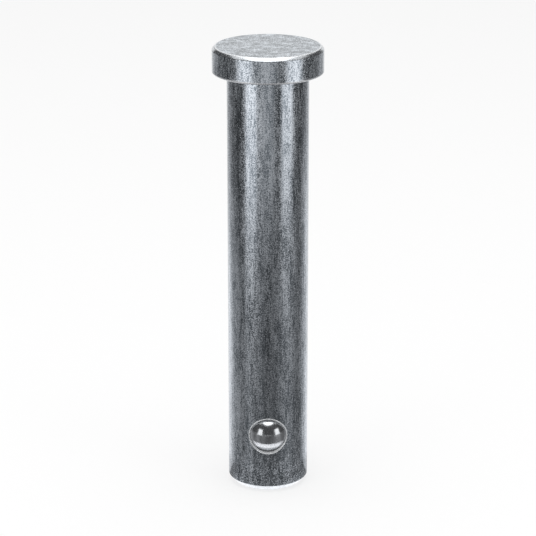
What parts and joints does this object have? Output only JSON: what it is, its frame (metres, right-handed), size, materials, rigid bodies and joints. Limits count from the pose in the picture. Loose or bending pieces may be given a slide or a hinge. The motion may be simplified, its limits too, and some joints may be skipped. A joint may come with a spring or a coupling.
{
  "type": "vise jaw pin",
  "caption": "Turned steel pin with a disc head, a chamfered tip and a spring-loaded ball near the tip that clicks past the jaw it locks.",
  "frame": {"origin": "centre of the flat face at the pin's tip, on which it stands", "axes": "+Z along the pin from the tip to the head; -Y the way the detent ball faces"},
  "size_m": [0.0258, 0.0258, 0.1078],
  "materials": {
    "pin_steel": "turned steel with a thin, slightly mottled bright zinc plating",
    "ball_steel": "hardened ball, ground and polished to a mirror",
    "spring_steel": "drawn spring wire, plain"
  },
  "bodies": {
    "pin": {"pin_body": "pin_steel", "detent_spring": "spring_steel"},
    "ball": {"detent_ball": "ball_steel"}
  },
  "joints": [
    {"name": "ball_press", "type": "slide", "parent": "pin", "child": "ball", "axis": [0, 1, 0], "range_m": [0, 0.0016], "stiffness_N_per_m": 2500, "springref_m": -0.002, "deforming": ["detent_spring"]}
  ]
}
